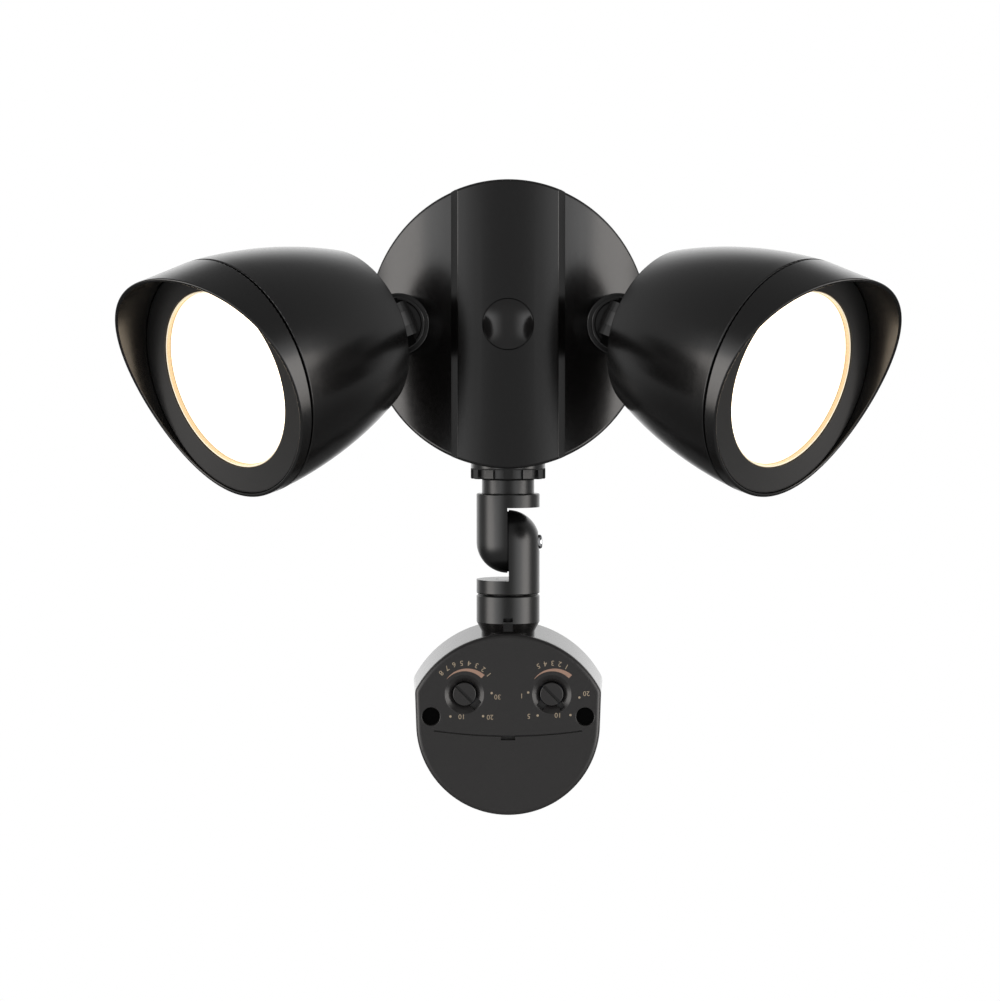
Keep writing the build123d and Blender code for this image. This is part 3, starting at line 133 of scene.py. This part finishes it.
# Driver board: glass-epoxy laminate under green solder resist, with a taped transformer, an electrolytic
# capacitor in its shrink sleeve and a moulded nylon connector soldered on its back.
solder_resist = finish_of("green_solder_resist", "#0d4a25", "#14612f", 1.2, (0.25, 0.4))
dress(solder_resist, "driver_board", "sensor_board")
yellow_tape = finish_of("polyester_tape", "#b98e1c", "#d0a52c", 3.0, (0.25, 0.4))
dress(yellow_tape, "driver_transformer")
shrink_sleeve = finish_of("black_shrink_sleeve", "#141417", "#1f1f24", 2.0, (0.3, 0.45))
dress(shrink_sleeve, "driver_capacitor", "detector_holder")
white_nylon = finish_of("natural_nylon", "#d9d7cd", "#e8e6de", 4.0, (0.4, 0.5))
dress(white_nylon, "wire_connector")

# Canopy: die-cast aluminium in black enamel, sprayed and stoved. The coat is smooth, with a slight orange
# peel about a millimetre across that softens what it reflects.
gloss_enamel = finish_of("gloss_black_enamel", "#080707", "#0b0a0a", 1.6, (0.2, 0.24), relief_mm=0.0001)
dress(gloss_enamel, "canopy")

# Plug: a moulded cap over the centre screw, a low dome with a rounded rim, pushed into the raised band. It is
# plain black ABS with the mould's polish, so the heads beside it show as dark patches on its sides. It stands
# for the solid plug, whose dome is lower.
plug_radius = 0.0107
plug_crown = 0.0027
plug_rim = 0.0006
solid_crown = 0.0016
low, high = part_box("centre_plug")
plug_shoulder = low.y + solid_crown
dome_radius = (plug_radius ** 2 + plug_crown ** 2) / (2 * plug_crown)
dome_centre = Vector((0, plug_shoulder - plug_crown + dome_radius, 0))
shape = bmesh.new()
tip = shape.verts.new((0, plug_shoulder - plug_crown, 0))
bmesh.ops.spin(shape, geom=[tip], cent=dome_centre, axis=(0, 0, 1),
               angle=asin(plug_radius / dome_radius), steps=14)
bmesh.ops.spin(shape, geom=shape.verts[:] + shape.edges[:], cent=(0, 0, 0), axis=(0, 1, 0),
               angle=2 * pi, steps=96, use_merge=True)
bmesh.ops.remove_doubles(shape, verts=shape.verts, dist=1e-6)
rim = [edge for edge in shape.edges if edge.is_boundary]
skirt = bmesh.ops.extrude_edge_only(shape, edges=rim)
back = [vert for vert in skirt["geom"] if isinstance(vert, bmesh.types.BMVert)]
bmesh.ops.translate(shape, verts=back, vec=(0, high.y - plug_shoulder, 0))
bmesh.ops.holes_fill(shape, edges=[edge for edge in shape.edges if edge.is_boundary])
bmesh.ops.recalc_face_normals(shape, faces=shape.faces)
bmesh.ops.bevel(shape, geom=rim, offset=plug_rim, affect="EDGES", segments=3, profile=0.5, material=-1)
for face in shape.faces:
    face.smooth = len(face.verts) < 5
mesh = bpy.data.meshes.new("plug")
shape.to_mesh(mesh)
shape.free()
polished_abs = finish_of("polished_black_abs", "#151414", "#1a1919", 0.9, (0.14, 0.18), relief_mm=0.0002)
mesh.materials.append(polished_abs)
plug = bpy.data.objects.new("plug", mesh)
bpy.context.scene.collection.objects.link(plug)
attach(plug, "canopy")
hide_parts("centre_plug")

# Heads: housing and visor are die-cast aluminium in the same black, sprayed to a satin gloss that spreads
# reflections into broad sheens. The bezel's coat is matt. The collars and posts are turned aluminium in the
# canopy's coat.
satin_enamel = finish_of("satin_black_enamel", "#0a0a0a", "#0e0d0d", 1.2, (0.19, 0.23), relief_mm=0.0001)
dress(satin_enamel, *[f"{side}_{piece}" for side in sides for piece in ("head_housing", "visor")])
dress(gloss_enamel, *[f"{side}_{piece}" for side in sides for piece in ("swivel_collar", "swivel_post")])
bezel_enamel = finish_of("matt_black_enamel", "#0b0b0b", "#100f0f", 0.8, (0.4, 0.46), relief_mm=0.0003)
dress(bezel_enamel, "left_bezel", "right_bezel")

# Small black screws: headed steel wire, blackened in hot oxide salts and oiled. They pinch the heads' forks
# and hold the sensor's cover and board. Oxide is dull and nearly black, with no colour. On the sensor's cover
# the near-black heads also stand as painted shade down in the screw wells.
black_oxide_and_painted_shade = finish_of("black_oxide_steel_and_painted_shade", "#070707", "#0d0d0d", 1.0, (0.5, 0.65), Metallic=1.0)
# The sensor screws' near-black heads are partly painted shade for the dark screw wells.
dress(black_oxide_and_painted_shade, "sensor_screws")
dress(black_oxide_and_painted_shade, *[f"{side}_{piece}" for side in sides for piece in ("tilt_screw", "tilt_nut")])

# Light engine: a bare aluminium heat plate, a white aluminium-backed board and yellow phosphor chips,
# all behind the lens.
bare_aluminium = finish_of("bare_aluminium", "#b9babb", "#cfd0d1", 2.0, (0.3, 0.4), Metallic=1.0)
dress(bare_aluminium, "left_heat_plate", "right_heat_plate")
white_resist = finish_of("white_solder_resist", "#e3e3df", "#efefec", 1.5, (0.3, 0.45))
dress(white_resist, "left_led_board", "right_led_board")
phosphor = finish_of("phosphor_silicone", "#d9b02a", "#ecc94a", 0.8, (0.35, 0.5))
dress(phosphor, "left_led_chips", "right_led_chips")

# Lenses: shallow dishes of moulded polycarbonate, frosted, lit from behind by warm white chips. The floor of
# the dish is blown out to white. Less light reaches the raised rim, which shows as a cream ring. The brown
# line at its foot and the one where it meets the bezel are painted shade in the rings' colour and glow.
swivel_angle = radians(23.5)
tilt_angle = radians(48.7)
ring_start_radius = 0.0331
lens_floor_radius = 0.0341
lens_opening_radius = 0.0356
glow_fade = 0.0005
rim_glow = 0.35
floor_glow = 2.4
# From the lens's centre to its edge: the brown stops at 0.64 and from 0.9 outward are painted shade.
lens_glow_and_shade_rings = [(0.0, "#ffecd2"), (0.4, "#ffecd2"), (0.58, "#f3e4c8"), (0.64, "#ab9675"), (0.68, "#e9dcc2"),
              (0.8, "#f6ecd8"), (0.9, "#c9b591"), (0.95, "#68573f"), (1.0, "#463827")]


def ramp_of(tree, factor, stops):
    """A colour ramp over a factor, with its stops as pairs of a position and a linear RGBA."""
    made = add(tree, "ShaderNodeValToRGB", sockets={"Fac": factor})
    elements = made.color_ramp.elements
    while len(elements) < len(stops):
        elements.new(1.0)
    for element, (position, colour) in zip(elements, stops):
        element.position = position
        element.color = colour
    return made


def frosted_lens(name, centre, turn):
    """Lit polycarbonate with rings about the lens's own axis, whose brown rings are painted shade."""
    material = bpy.data.materials.new(name)
    material.use_nodes = True
    tree = material.node_tree
    shader = tree.nodes["Principled BSDF"]
    shader.inputs["Roughness"].default_value = 0.35
    place = add(tree, "ShaderNodeTexCoord").outputs["Object"]
    centred = add(tree, "ShaderNodeMapping", {"vector_type": "TEXTURE"},
                  {"Vector": place, "Location": centre, "Rotation": turn})
    flat = add(tree, "ShaderNodeVectorMath", {"operation": "MULTIPLY"}, {0: centred.outputs[0], 1: (1, 1, 0)})
    radius = add(tree, "ShaderNodeVectorMath", {"operation": "LENGTH"}, {0: flat.outputs[0]})
    share = add(tree, "ShaderNodeMapRange", sockets={
        "Value": radius.outputs["Value"], "From Min": ring_start_radius, "From Max": lens_opening_radius})
    ring = ramp_of(tree, share.outputs["Result"], [(spot, linear(colour)) for spot, colour in lens_glow_and_shade_rings])
    level = add(tree, "ShaderNodeMapRange", sockets={
        "Value": radius.outputs["Value"],
        "From Min": lens_floor_radius, "From Max": lens_floor_radius + glow_fade,
        "To Min": floor_glow, "To Max": rim_glow})
    tree.links.new(ring.outputs["Color"], shader.inputs["Base Color"])
    tree.links.new(ring.outputs["Color"], shader.inputs["Emission Color"])
    tree.links.new(level.outputs["Result"], shader.inputs["Emission Strength"])
    return material


for side, sign in (("left", -1), ("right", 1)):
    low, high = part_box(f"{side}_lens")
    outward = Vector((sign * cos(swivel_angle), 0, -sin(swivel_angle)))
    head_axis = outward * sin(tilt_angle) + Vector((0, -1, 0)) * cos(tilt_angle)
    turn = head_axis.to_track_quat("Z", "Y").to_euler()
    dress(frosted_lens(f"frosted_polycarbonate_{side}", (low + high) / 2, turn), f"{side}_lens")

# Sensor arm: lock nut, elbows and neck ring are moulded in black glass-filled nylon, which has a satin
# skin with a fine texture. A chrome pan-head screw pinches the elbow.
filled_nylon = finish_of("glass_filled_nylon", "#0d0d0d", "#121212", 0.6, (0.28, 0.32), relief_mm=0.0002)
dress(filled_nylon, "lock_nut", "upper_elbow", "lower_elbow", "neck_ring")
chrome = finish_of("chrome_plated_steel", "#d3d4d6", "#e2e3e5", 3.0, (0.08, 0.14), Metallic=1.0)
dress(chrome, "elbow_screw")

# Motion sensor: housing, cover and knobs are moulded in black ABS. The housing's sides are polished, and the
# cover and knobs have a fine spark-eroded texture. The two dials turn blue phenolic potentiometers.
dress(polished_abs, "sensor_housing")
black_abs = finish_of("textured_black_abs", "#1f1e1e", "#262525", 0.6, (0.3, 0.36), relief_mm=0.0003)
dress(black_abs, "sensor_cover", "sensitivity_knob", "timer_knob")
blue_body = finish_of("blue_phenolic", "#173a78", "#21498f", 1.5, (0.35, 0.5))
dress(blue_body, "sensitivity_pot", "timer_pot")

# Detection lens: a bent sheet of milky polyethylene under the sensor, moulded with square facets 7 mm wide.
# Each facet has round grooves, drawn coarser than the real ones so that they show.
facet_mm = 7.0
grooves_in_facet = 6
groove_height = 0.004         # for a whole unit of the pattern, of which a groove takes a twelfth
milky_polyethylene = finish_of("milky_polyethylene", "#c9cac6", "#dcddd9", 1.5, (0.4, 0.5))
tree = milky_polyethylene.node_tree
place = add(tree, "ShaderNodeTexCoord").outputs["Object"]
facets = add(tree, "ShaderNodeTexVoronoi", sockets={
    "Vector": place, "Scale": 1000 / facet_mm, "Randomness": 0.0})
groove = add(tree, "ShaderNodeMath", {"operation": "PINGPONG"},
             {0: facets.outputs["Distance"], 1: 0.5 / grooves_in_facet})
bump = add(tree, "ShaderNodeBump", sockets={
    "Height": groove.outputs[0], "Strength": 1.0, "Distance": groove_height})
tree.links.new(bump.outputs["Normal"], tree.nodes["Principled BSDF"].inputs["Normal"])
dress(milky_polyethylene, "fresnel_lens", "light_cell")

# Print on the cover: a tapering scale bar and a row of numbers round each dial, and dots with numbers at its
# stops, pad printed in copper and cream ink. The sensor hangs upside down from the arm, and so do the numbers.
ink_film_mm = 0.04
copper_ink = finish_of("pad_printed_copper_ink", "#8f6f5e", "#a08372", 0.4, (0.45, 0.6))
cream_ink = finish_of("pad_printed_cream_ink", "#8f806c", "#a39580", 0.4, (0.45, 0.6))
millimetre = 0.001
digit_share = 0.72            # height of a digit in the type's own size


def numeral(digits, height):
    """Mesh of an upright number, centred, with the thickness of the ink."""
    curve = bpy.data.curves.new("numeral", "FONT")
    curve.body = digits
    curve.size = height / digit_share
    curve.align_x = "CENTER"
    curve.align_y = "CENTER"
    curve.resolution_u = 3
    curve.extrude = ink_film_mm
    holder = bpy.data.objects.new("numeral", curve)
    mesh = bpy.data.meshes.new_from_object(holder)
    bpy.data.objects.remove(holder)
    return mesh


def thicken(shape):
    """Gives flat faces the thickness of the ink, half of it below the surface that they lie on."""
    raised = bmesh.ops.extrude_face_region(shape, geom=shape.faces[:], use_keep_orig=True)
    upper = [vert for vert in raised["geom"] if isinstance(vert, bmesh.types.BMVert)]
    bmesh.ops.translate(shape, verts=upper, vec=(0, 0, ink_film_mm))
    bmesh.ops.translate(shape, verts=shape.verts, vec=(0, 0, -ink_film_mm / 2))


def print_on_cover(name, ink, shape, knob):
    """Makes a piece of flat print, drawn in millimetres about its knob, and lays it on the cover."""
    bmesh.ops.remove_doubles(shape, verts=shape.verts, dist=0.002)
    bmesh.ops.recalc_face_normals(shape, faces=shape.faces)
    low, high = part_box(knob)
    cover_low, cover_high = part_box("sensor_cover")
    centre = Vector(((low.x + high.x) / 2, cover_low.y, (low.z + high.z) / 2))
    bmesh.ops.transform(shape, verts=shape.verts, matrix=Matrix.Translation(centre)
                        @ Matrix.Rotation(radians(90), 4, "X") @ Matrix.Scale(millimetre, 4))
    mesh = bpy.data.meshes.new(name)
    shape.to_mesh(mesh)
    shape.free()
    mesh.materials.append(ink)
    piece = bpy.data.objects.new(name, mesh)
    bpy.context.scene.collection.objects.link(piece)
    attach(piece, "sensor")


# Each bar runs from its thin end to its thick one, between these inner and outer radii in millimetres.
bar_start, bar_end = radians(138), radians(44)
bar_inner = (9.7, 9.9)
bar_outer = (9.85, 11.8)
for dial in ("sensitivity", "timer"):
    shape = bmesh.new()
    foot = [shape.verts.new((radius * cos(bar_start), radius * sin(bar_start), 0))
            for radius in (bar_inner[0], bar_outer[0])]
    bmesh.ops.spin(shape, geom=[*foot, shape.edges.new(foot)], cent=(0, 0, 0), axis=(0, 0, 1),
                   angle=bar_end - bar_start, steps=24)
    for vert in shape.verts:
        radius = vert.co.length
        ends = bar_outer if radius > (bar_inner[0] + bar_outer[0]) / 2 else bar_inner
        share = (bar_start - atan2(vert.co.y, vert.co.x)) / (bar_start - bar_end)
        vert.co *= (ends[0] + (ends[1] - ends[0]) * share) / radius
    thicken(shape)
    print_on_cover(f"{dial}_scale_bar", copper_ink, shape, f"{dial}_knob")

# For each dial: how many numbers its row has, the angles of the first and last in degrees, the dots, and the
# numbers at its stops, in millimetres from the knob.
scale_radius = 13.3
scale_height = 2.2
stop_height = 2.1
dot_radius = 0.5
scales = {
    "sensitivity": (8, 39, 137, [(11.45, 0.61), (-5.83, -9.24), (7.86, -9.12)],
                    [("30", 13.9, -0.93), ("20", 10.78, -9.45), ("10", -1.12, -9.24)]),
    "timer": (5, 62, 115, [(-9.87, 0.86), (-5.9, -8.83), (7.84, -8.62), (11.56, -1.23)],
              [("1", -12.6, -0.48), ("5", -9.6, -9.03), ("10", 2.6, -8.62), ("20", 14.5, 0.5)]),
}
for dial, (count, first, last, dots, stop_numbers) in scales.items():
    shape = bmesh.new()
    for dot in dots:
        bmesh.ops.create_circle(shape, cap_ends=True, segments=16, radius=dot_radius,
                                matrix=Matrix.Translation((*dot, 0)))
    thicken(shape)
    marks = [(digits, (x, y, 0), pi, stop_height) for digits, x, y in stop_numbers]
    for step in range(count):
        angle = radians(first + (last - first) * step / (count - 1))
        spot = (scale_radius * cos(angle), scale_radius * sin(angle), 0)
        marks.append((str(step + 1), spot, angle + pi / 2, scale_height))
    for digits, spot, turn, height in marks:
        mesh = numeral(digits, height)
        mesh.transform(Matrix.Translation(spot) @ Matrix.Rotation(turn, 4, "Z"))
        shape.from_mesh(mesh)
        bpy.data.meshes.remove(mesh)
    print_on_cover(f"{dial}_numbers", cream_ink, shape, f"{dial}_knob")

# Stage: a pale floor well below the light, and a white surround that is shaded above, below and where the
# camera stands. Two tall soft boxes light the front from the sides, with some spill on the walls beside them.
floor_drop = 0.25
surround_levels = [(0.0, 0.4), (0.5, 0.3), (0.8, 0.5), (0.9, 1.4)]    # from in front to behind
below_level = 0.1
above_level = 0.28
spill_level = 2.3
ambient_level = 0.85
backdrop_level = 1.0


def fade(tree, value, start, end, top=1.0):
    """A smooth rise of a value's share, from nothing at the start to the top at the end."""
    return add(tree, "ShaderNodeMapRange", {"interpolation_type": "SMOOTHSTEP"},
               {"Value": value, "From Min": start, "From Max": end, "To Max": top}).outputs[0]


def combine(tree, operation, first, second, clamp=False):
    """The product or sum of two outputs."""
    return add(tree, "ShaderNodeMath", {"operation": operation, "use_clamp": clamp},
               {0: first, 1: second}).outputs[0]


bpy.ops.mesh.primitive_plane_add(size=12, location=(0, 0, cad_low.z - floor_drop))
floor = bpy.context.object
floor.name = "floor"
floor.visible_glossy = False
floor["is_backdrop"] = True
paper = bpy.data.materials.new("white_paper")
paper.use_nodes = True
floor.data.materials.append(paper)
tree = paper.node_tree
shader = tree.nodes["Principled BSDF"]
shader.inputs["Base Color"].default_value = linear("#f4f4f3")
shader.inputs["Roughness"].default_value = 0.9
rays = add(tree, "ShaderNodeLightPath").outputs
seen = combine(tree, "ADD", rays["Is Camera Ray"], rays["Is Transmission Ray"], clamp=True)
place = add(tree, "ShaderNodeTexCoord").outputs["Object"]
reach = add(tree, "ShaderNodeVectorMath", {"operation": "LENGTH"}, {0: place})
whiten = combine(tree, "MULTIPLY", seen, fade(tree, reach.outputs["Value"], 0.25, 0.55))
white = add(tree, "ShaderNodeEmission", sockets={"Strength": backdrop_level})
blend = add(tree, "ShaderNodeMixShader", sockets={0: whiten, 1: shader.outputs[0], 2: white.outputs[0]})
tree.links.new(blend.outputs[0], tree.nodes["Material Output"].inputs["Surface"])

world = bpy.data.worlds.new("white_studio")
bpy.context.scene.world = world
world.use_nodes = True
tree = world.node_tree
rays = add(tree, "ShaderNodeLightPath").outputs
direction = add(tree, "ShaderNodeTexCoord").outputs["Generated"]
parts = add(tree, "ShaderNodeSeparateXYZ", sockets={0: direction}).outputs
share = add(tree, "ShaderNodeMapRange", sockets={"Value": parts["Y"], "From Min": -1.0})
around = ramp_of(tree, share.outputs[0],
                 [(spot, (level, level, level, 1)) for spot, level in surround_levels])
below_behind = combine(tree, "MULTIPLY", fade(tree, parts["Z"], -0.05, -0.35),
                       fade(tree, parts["Y"], -0.1, 0.4))
shaded = add(tree, "ShaderNodeMix", sockets={0: below_behind, 2: around.outputs[0], 3: below_level})
surround = add(tree, "ShaderNodeMix", sockets={
    0: fade(tree, parts["Z"], 0.4, 0.9), 2: shaded.outputs[0], 3: above_level})
sideways = add(tree, "ShaderNodeMath", {"operation": "ABSOLUTE"}, {0: parts["X"]})
height = add(tree, "ShaderNodeMath", {"operation": "ABSOLUTE"}, {0: parts["Z"]})
spill = combine(tree, "MULTIPLY", fade(tree, sideways.outputs[0], 0.15, 0.8, spill_level),
                fade(tree, parts["Y"], 0.1, -0.3))
spill = combine(tree, "MULTIPLY", spill, fade(tree, height.outputs[0], 0.6, 0.2))
lit = combine(tree, "ADD", surround.outputs[0], spill)
indirect = add(tree, "ShaderNodeMix", sockets={0: rays["Is Glossy Ray"], 2: ambient_level, 3: lit})
direct = combine(tree, "ADD", rays["Is Camera Ray"], rays["Is Transmission Ray"], clamp=True)
level = add(tree, "ShaderNodeMix", sockets={0: direct, 2: indirect.outputs[0], 3: backdrop_level})
tree.links.new(level.outputs[0], tree.nodes["Background"].inputs["Strength"])
tree.nodes["Background"].inputs["Color"].default_value = (1, 1, 1, 1)


def soft_box(name, place, target, size, radiance, colour):
    """An area lamp of an even brightness, aimed at a point and hidden from the camera."""
    lamp = bpy.data.lights.new(name, "AREA")
    lamp.shape = "RECTANGLE"
    lamp.size, lamp.size_y = size
    lamp.energy = radiance * pi * size[0] * size[1]
    lamp.color = linear(colour)[:3]
    holder = bpy.data.objects.new(name, lamp)
    holder.location = place
    holder.rotation_euler = (Vector(target) - Vector(place)).to_track_quat("-Z", "Y").to_euler()
    holder.visible_camera = False
    bpy.context.scene.collection.objects.link(holder)


for side, sign in (("left", -1), ("right", 1)):
    soft_box(f"box_{side}", (sign * 1.1, -0.47, -0.1), (0, 0, -0.06), (0.65, 0.95), 2.0, "#fff6ee")

# Camera: level with the lower part of the canopy, a metre in front of the wall, on a long lens that looks
# slightly down.
camera = bpy.data.cameras.new("camera")
focal_pixels = 2315
frame_pixels = 1000
camera.sensor_fit = "HORIZONTAL"
camera.sensor_width = 36.0
camera.lens = camera.sensor_width * focal_pixels / frame_pixels
holder = bpy.data.objects.new("camera", camera)
holder.location = (0, -1.0, -0.0322)
holder.rotation_euler = (radians(90 - 2.444), 0, radians(0.2))
bpy.context.scene.collection.objects.link(holder)
bpy.context.scene.camera = holder
bpy.context.scene.view_settings.view_transform = "Standard"

low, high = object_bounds()
